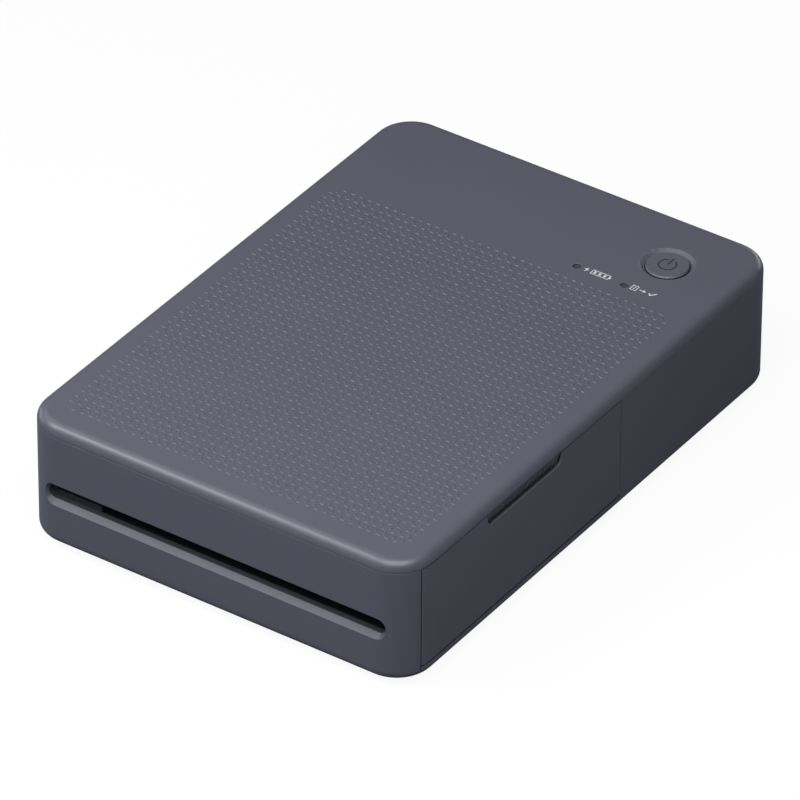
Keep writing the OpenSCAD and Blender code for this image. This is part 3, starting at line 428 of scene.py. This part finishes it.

# %% [markdown]
# Behind the slot's left end sits a small pad that carries the edge of the sheet, and it catches
# more light than the guide deeper in. It is part of the sheet guide, so it is told apart by its
# place: left of a line, the colour is a paler grey, which paints that light on.

# %% Guide pad
pad_length = 13 * MM
# Painted light: the pad's colour is paler than the guide's own.
pad_painted_light = (0.036, 0.038, 0.052, 1)
pad_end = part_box("exit_guide")[0][0] + pad_length
tree = guide_plastic.node_tree
shader = tree.nodes["Principled BSDF"]
across = node(tree, "ShaderNodeSeparateXYZ", Vector=object_place(tree)).outputs["X"]
on_pad = math_node(tree, "LESS_THAN", across, pad_end)
guide_colour = shader.inputs["Base Color"].links[0].from_socket
tree.links.new(colour_mix(tree, on_pad, guide_colour, pad_painted_light), shader.inputs["Base Color"])
print("pad ends at", round(pad_end / MM, 1), "mm")

# %% [markdown]
# ## Rubber, metals, film and paper
#
# The same two groups serve the rest. Rubber is darker and rougher with a larger grain. The steel
# plates get streaks along the rolling direction: a noise squeezed along one axis. Ribbon film is
# dark and glossy. The stack of paper shows its sheets as fine lines, which a Wave texture draws
# along Z.

# %% Other finishes
rubber = grained(
    "black_rubber", (0.016, 0.016, 0.017), 0.78, grain_mm=0.3, bump=0.5, edge=0.5, unevenness=0.25,
)
roller_rubber = grained("roller_rubber", (0.03, 0.03, 0.032), 0.6, grain_mm=0.12, bump=0.3, edge=0.2)
motor_steel = grained(
    "motor_steel", (0.5, 0.5, 0.52), 0.32, grain_mm=0.4, bump=0.1, edge=0.2, metallic=1.0,
)
ceramic = grained("head_ceramic", (0.7, 0.66, 0.56), 0.25, grain_mm=0.3, bump=0.05, edge=0.1, coat=0.4)
film = grained("ribbon_film", (0.035, 0.018, 0.03), 0.18, grain_mm=0.8, bump=0.05, edge=0.0, coat=0.3)
wrap = grained("battery_wrap", (0.06, 0.09, 0.17), 0.3, grain_mm=1.2, bump=0.1, edge=0.2)
board = grained(
    "board_green", (0.012, 0.075, 0.035), 0.35, grain_mm=0.6, bump=0.15, edge=0.3, unevenness=0.5,
)


streak_scale = 900.0
streak_dark, streak_light = 0.86, 1.1
sheet_lines = 680.0


def rolled_metal(name, colour, roughness, stretch):
    material, tree, shader = new_material(name)
    squeezed = node(tree, "ShaderNodeMapping", Vector=object_place(tree), Scale=stretch)
    streaks = node(
        tree, "ShaderNodeTexNoise", Vector=squeezed.outputs[0], Scale=streak_scale, Detail=4.0,
    )
    shade = node(
        tree, "ShaderNodeMapRange", Value=streaks.outputs["Fac"], i3=streak_dark, i4=streak_light,
    )
    tree.links.new(scaled(tree, colour, shade.outputs[0]), shader.inputs["Base Color"])
    rough = math_node(tree, "MULTIPLY_ADD", streaks.outputs["Fac"], 0.15, roughness)
    tree.links.new(rough, shader.inputs["Roughness"])
    scratch = node(
        tree, "ShaderNodeBump", Strength=0.15, Distance=0.00002, Height=streaks.outputs["Fac"],
    )
    tree.links.new(scratch.outputs[0], shader.inputs["Normal"])
    shader.inputs["Metallic"].default_value = 1.0
    return material


steel = rolled_metal("plated_steel", (0.56, 0.56, 0.57), 0.28, (1.0, 0.06, 1.0))
shaft_steel = rolled_metal("turned_steel", (0.6, 0.6, 0.61), 0.2, (0.1, 1.0, 1.0))
aluminium = rolled_metal("extruded_aluminium", (0.78, 0.78, 0.79), 0.3, (0.05, 1.0, 1.0))


def stacked_paper():
    material, tree, shader = new_material("photo_paper")
    sheets = node(
        tree, "ShaderNodeTexWave", settings={"bands_direction": "Z"},
        Vector=object_place(tree), Scale=sheet_lines, Distortion=0.4,
    )
    tint = colour_mix(tree, sheets.outputs["Fac"], (0.74, 0.73, 0.7, 1), (0.9, 0.9, 0.88, 1))
    tree.links.new(tint, shader.inputs["Base Color"])
    fibre = node(tree, "ShaderNodeBump", Strength=0.2, Distance=0.00005, Height=sheets.outputs["Fac"])
    tree.links.new(fibre.outputs[0], shader.inputs["Normal"])
    shader.inputs["Roughness"].default_value = 0.45
    return material


paper = stacked_paper()
print("finishes ready:", len(bpy.data.materials))

# %% [markdown]
# ## Lamp windows
#
# The two lamps are off, so their light pipes look nearly black in the top cover. Clear plastic
# over a dark board would need many light bounces for the same effect; a smoky, polished plastic
# is close enough at this size.

# %% Lamp plastic
lamp_plastic = grained(
    "lamp_plastic", (0.055, 0.056, 0.07), 0.25, grain_mm=0.5, bump=0.05, edge=0.0, coat=0.5,
)
print("lamp windows use", lamp_plastic.name)

# %% [markdown]
# ## Giving the solids their finishes
#
# Each solid keeps its mesh and only swaps its material. A table from finish to node names reads
# like the printer's list of materials.

# %% Assign materials
finishes = [
    (case_plastic, ["upper_case", "lower_case"]),
    (bezel_plastic, ["front_bezel"]),
    (door_plastic, ["cassette_door"]),
    (guide_plastic, ["exit_guide"]),
    (dark_plastic, ["cassette_tray", "cassette_cover"]),
    (black_plastic, ["power_switch"]),
    (gear_plastic, [
        "platen_gear", "capstan_gear", "front_idler_gear", "clutch_gear", "upper_idler_gear",
        "middle_idler_gear", "rear_idler_gear", "pickup_gear", "supply_spool", "takeup_spool",
    ]),
    (rubber, ["rubber_feet"]),
    (roller_rubber, ["platen_roller", "pinch_roller", "pickup_tyres"]),
    (steel, [
        "side_frame", "bay_wall", "top_plate", "roller_bracket", "lift_plate", "case_screws",
        "usb_socket",
    ]),
    (shaft_steel, [
        "platen_shaft", "capstan_roller", "pickup_shaft", "door_hinge_pins", "motor_pinion",
    ]),
    (motor_steel, ["drive_motor"]),
    (aluminium, ["head_heat_sink"]),
    (ceramic, ["thermal_head"]),
    (film, ["ribbon_web", "supply_roll", "takeup_roll"]),
    (paper, ["paper_stack"]),
    (board, ["main_board", "button_board"]),
    (wrap, ["battery"]),
    (lamp_plastic, ["light_pipes"]),
]


def give_finish(name, material):
    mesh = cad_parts[name].data
    mesh.materials.clear()
    mesh.materials.append(material)


for material, names in finishes:
    for name in names:
        give_finish(name, material)
print("finished", sum(len(names) for _, names in finishes), "solids of", len(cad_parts))

# %% [markdown]
# ## The power button
#
# The button is the case's slate in a slightly finer grain, and its narrow ring of a gap gets the
# seam shade. It stands in a shallow dish. A polished dish would show a hard bright crescent, so
# the mould leaves it more satin than the rest of the cover: the distance from the button's centre
# adds roughness there.

# %% Button and dish
button_low, button_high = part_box("power_button")
button_middle = [(low + high) / 2 for low, high in zip(button_low, button_high)]
button_plastic = grained(
    "button_plastic", slate, 0.34, grain_mm=0.14, edge_mm=0.08, edge=0.2, seam=0.9,
)
give_finish("power_button", button_plastic)

dish_radius = 6.4 * MM
dish_roughness = 0.3
fade_start, fade_end = dish_radius * 0.97, dish_radius * 1.05
tree = case_plastic.node_tree
shader = tree.nodes["Principled BSDF"]
centre = (button_middle[0], button_middle[1], button_high[2])
away = node(
    tree, "ShaderNodeVectorMath", settings={"operation": "DISTANCE"},
    i0=object_place(tree), i1=centre,
)
satin = node(
    tree, "ShaderNodeMapRange", Value=away.outputs["Value"],
    i1=fade_start, i2=fade_end, i3=dish_roughness, i4=0.0,
)
rough = math_node(tree, "ADD", shader.inputs["Roughness"].links[0].from_socket, satin.outputs[0])
tree.links.new(rough, shader.inputs["Roughness"])
print("button centre in mm:", [round(v / MM, 2) for v in button_middle])

# %% [markdown]
# From the camera's side the long seam above the door should show as a clear dark line, but the gap
# of the solids is too narrow for that at this size. So the cover's material darkens a narrow band
# along the seam: a painted shade line.

# %% Door line, painted shade
door_low, door_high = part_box("cassette_door")
line_width = 0.38 * MM
line_shade = 0.42
side_skin = 2 * MM
door_middle_y = (door_low[1] + door_high[1]) / 2
door_half_y = (door_high[1] - door_low[1]) / 2
tree = case_plastic.node_tree
place = node(tree, "ShaderNodeSeparateXYZ", Vector=object_place(tree))
near_seam = math_node(tree, "COMPARE", place.outputs["Z"], door_high[2], line_width)
along_door = math_node(tree, "COMPARE", place.outputs["Y"], door_middle_y, door_half_y)
on_side = math_node(tree, "GREATER_THAN", place.outputs["X"], door_high[0] - side_skin)
on_line = math_node(tree, "MULTIPLY", math_node(tree, "MULTIPLY", near_seam, along_door), on_side)
shade_base(case_plastic, math_node(tree, "MULTIPLY_ADD", on_line, line_shade - 1, 1.0))
print("door line at", round(door_high[2] / MM, 2), "mm")

# %% [markdown]
# ## The raised pattern on the top cover
#
# Most of the top is covered by short raised bars that make it pleasant to hold and hide scratches:
# rows of bars that lie across, and between them bars that stand along the case. For nearly 3,600
# bars an Array modifier would do, but two lattices are easier to say in a loop. Each bar is a flat
# pill, smaller at its top than at its foot. Its foot goes a little into the cover, so no gap shows
# under it.

# %% One bar
bar_long = 1.22 * MM
bar_wide = 0.46 * MM
bar_sink = 0.02 * MM
bar_slope = 0.14 * MM
bar_height = 0.15 * MM
top_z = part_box("upper_case")[1][2]


def pill(length, width, steps=3):
    radius = width / 2
    reach = length / 2 - radius
    points = []
    for end in (0, 1):
        for i in range(steps + 1):
            angle = math.pi * (i / steps - 0.5) + math.pi * end
            points.append((reach * (1 - 2 * end) + radius * math.cos(angle), radius * math.sin(angle)))
    return points


foot_outline = pill(bar_long, bar_wide)
head_outline = pill(bar_long - 2 * bar_slope, bar_wide - 2 * bar_slope)


def add_bar(vertices, faces, x, y, along):
    start = len(vertices)
    count = len(foot_outline)
    for outline, z in ((foot_outline, top_z - bar_sink), (head_outline, top_z + bar_height)):
        for px, py in outline:
            dx, dy = (-py, px) if along else (px, py)
            vertices.append((x + dx, y + dy, z))
    for i in range(count):
        j = (i + 1) % count
        faces.append((start + i, start + j, start + count + j, start + count + i))
    faces.append(tuple(range(start + count, start + 2 * count)))


print("points round a bar:", len(foot_outline))

# %% [markdown]
# All the bars share one mesh. The loop sets one bar across at each lattice point and one along the
# case in the middle of each square. It leaves out the four corners of the lattice, and with the
# front left one goes the bar in the middle of its square.

# %% Raised bars
pitch = 2.29 * MM
columns = 40
rows = 46
first_row_y = 37.95 * MM

vertices, faces = [], []
for row in range(rows):
    for column in range(columns):
        if row in (0, rows - 1) and column in (0, columns - 1):
            continue
        x = (column - (columns - 1) / 2) * pitch
        y = first_row_y - row * pitch
        add_bar(vertices, faces, x, y, along=False)
        if row and column < columns - 1:
            add_bar(vertices, faces, x + pitch / 2, y + pitch / 2, along=True)


def mesh_object(name, vertices, faces, material, body="case"):
    mesh = bpy.data.meshes.new(name)
    mesh.from_pydata(vertices, [], faces)
    mesh.update()
    made = bpy.data.objects.new(name, mesh)
    bpy.context.scene.collection.objects.link(made)
    mesh.materials.append(material)
    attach(made, body)
    return made


# The bars are the case's plastic; their colour is 6 per cent lighter as painted light on their slopes.
bar_painted_light_colour = tuple(c * 1.06 for c in slate)
bar_plastic = grained("bar_plastic", bar_painted_light_colour, 0.46, grain_mm=0.14, bump=0.1, edge=0.0)
raised_bars = mesh_object("raised_bars", vertices, faces, bar_plastic)
print("bars:", len(faces) // (len(foot_outline) + 1), "height in mm:", round(bar_height / MM, 3))

# %% [markdown]
# ## Signs beside the lamps
#
# Each lamp has a small white sign to its right. Here they are plain pictures that any maker uses:
# a bolt and a battery for the charging lamp, and a sheet, an arrow and a tick for the state lamp.
# They are printed, so they are a skin of ink a hundredth of a millimetre above the cover.

# %% Printed signs
ink_speckle = 4000.0
ink_dark, ink_light = 0.5, 0.66
ink, tree, shader = new_material("white_ink")
patchy = node(tree, "ShaderNodeTexNoise", Vector=object_place(tree), Scale=ink_speckle, Detail=2.0)
cover = node(tree, "ShaderNodeMapRange", Value=patchy.outputs["Fac"], i3=ink_dark, i4=ink_light)
tree.links.new(scaled(tree, (1, 1, 1), cover.outputs[0]), shader.inputs["Base Color"])
shader.inputs["Roughness"].default_value = 0.5

ink_height = 0.012 * MM


def rectangle(x0, y0, x1, y1):
    return [(x0, y0), (x1, y0), (x1, y1), (x0, y1)]


def frame_of(x0, y0, x1, y1, line):
    return [
        rectangle(x0, y0, x1, y0 + line), rectangle(x0, y1 - line, x1, y1),
        rectangle(x0, y0 + line, x0 + line, y1 - line),
        rectangle(x1 - line, y0 + line, x1, y1 - line),
    ]


def flat_sign(name, shapes, x, y, z, material, body="case"):
    vertices, faces = [], []
    for shape in shapes:
        faces.append(tuple(range(len(vertices), len(vertices) + len(shape))))
        vertices += [(x + px * MM, y + py * MM, z + ink_height) for px, py in shape]
    sign = mesh_object(name, vertices, faces, material, body)
    return sign


bolt = [(0.95, 0.95), (0.1, -0.1), (0.62, -0.1), (0.45, -0.95), (1.3, 0.15), (0.78, 0.15)]
battery_sign = frame_of(2.0, -0.85, 6.7, 0.85, 0.2) + [
    bolt, rectangle(6.7, -0.35, 7.05, 0.35),
    *(rectangle(2.6 + i * 1.3, -0.45, 3.2 + i * 1.3, 0.45) for i in range(3)),
]
tick = [(4.5, 0.02), (4.72, 0.24), (5.16, -0.28), (6.2, 0.85), (6.42, 0.62), (5.18, -0.75)]
state_sign = frame_of(0, -0.95, 1.6, 0.95, 0.19) + [
    rectangle(0.45, 0.2, 1.15, 0.37), rectangle(0.45, -0.37, 1.15, -0.2),
    rectangle(2.1, -0.11, 3.1, 0.11), [(3.1, 0.5), (3.1, -0.5), (3.9, 0)], tick,
]
pipe_foot = 1.8 * MM
lamp_low, lamp_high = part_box("light_pipes")
charge_lamp = (lamp_low[0] + pipe_foot, lamp_high[1] - pipe_foot)
state_lamp = (lamp_high[0] - pipe_foot, lamp_low[1] + pipe_foot)
flat_sign(
    "charge_sign", battery_sign, charge_lamp[0] + 1.75 * MM, charge_lamp[1] + 0.2 * MM, top_z,
    ink,
)
flat_sign(
    "state_sign", state_sign, state_lamp[0] + 1.6 * MM, state_lamp[1] + 0.4 * MM, top_z,
    ink,
)
print("lamps in mm:", [round(v / MM, 2) for v in (*charge_lamp, *state_lamp)])

# %% [markdown]
# The button carries the everyday power sign: a ring with a gap at the top, and a short bar through
# the gap. It is sunk into the real button; here a dark skin of the same thinness as the ink gives
# its strokes as painted shade of the grooves, and it rides on the button, so it goes down with
# it.

# %% Power sign
ring_radius = 2.02
bar_start = 0.1
bar_length = 2.6
stroke = 0.38
gap_half_angle = 25
ring_steps = 40


def arc_strip(radius, line, start, stop, steps):
    pieces = []
    for i in range(steps):
        angles = [math.radians(start + (stop - start) * k / steps) for k in (i, i + 1)]
        inner, outer = radius - line / 2, radius + line / 2
        (c0, s0), (c1, s1) = [(math.cos(a), math.sin(a)) for a in angles]
        pieces.append([
            (inner * c0, inner * s0), (outer * c0, outer * s0),
            (outer * c1, outer * s1), (inner * c1, inner * s1),
        ])
    return pieces


# Painted shade: the dark skin stands for the shade inside the sunk strokes.
groove_shade = grained("groove_shade", (0.026, 0.026, 0.034), 0.5, grain_mm=0.14, edge=0.0)
power_shapes = arc_strip(
    ring_radius, stroke, 90 + gap_half_angle, 450 - gap_half_angle, ring_steps,
)
power_shapes.append(rectangle(-stroke / 2, bar_start, stroke / 2, bar_start + bar_length))
flat_sign(
    "power_sign", power_shapes, button_middle[0], button_middle[1], button_high[2],
    groove_shade, body="button",
)
print("power sign:", len(power_shapes), "faces")
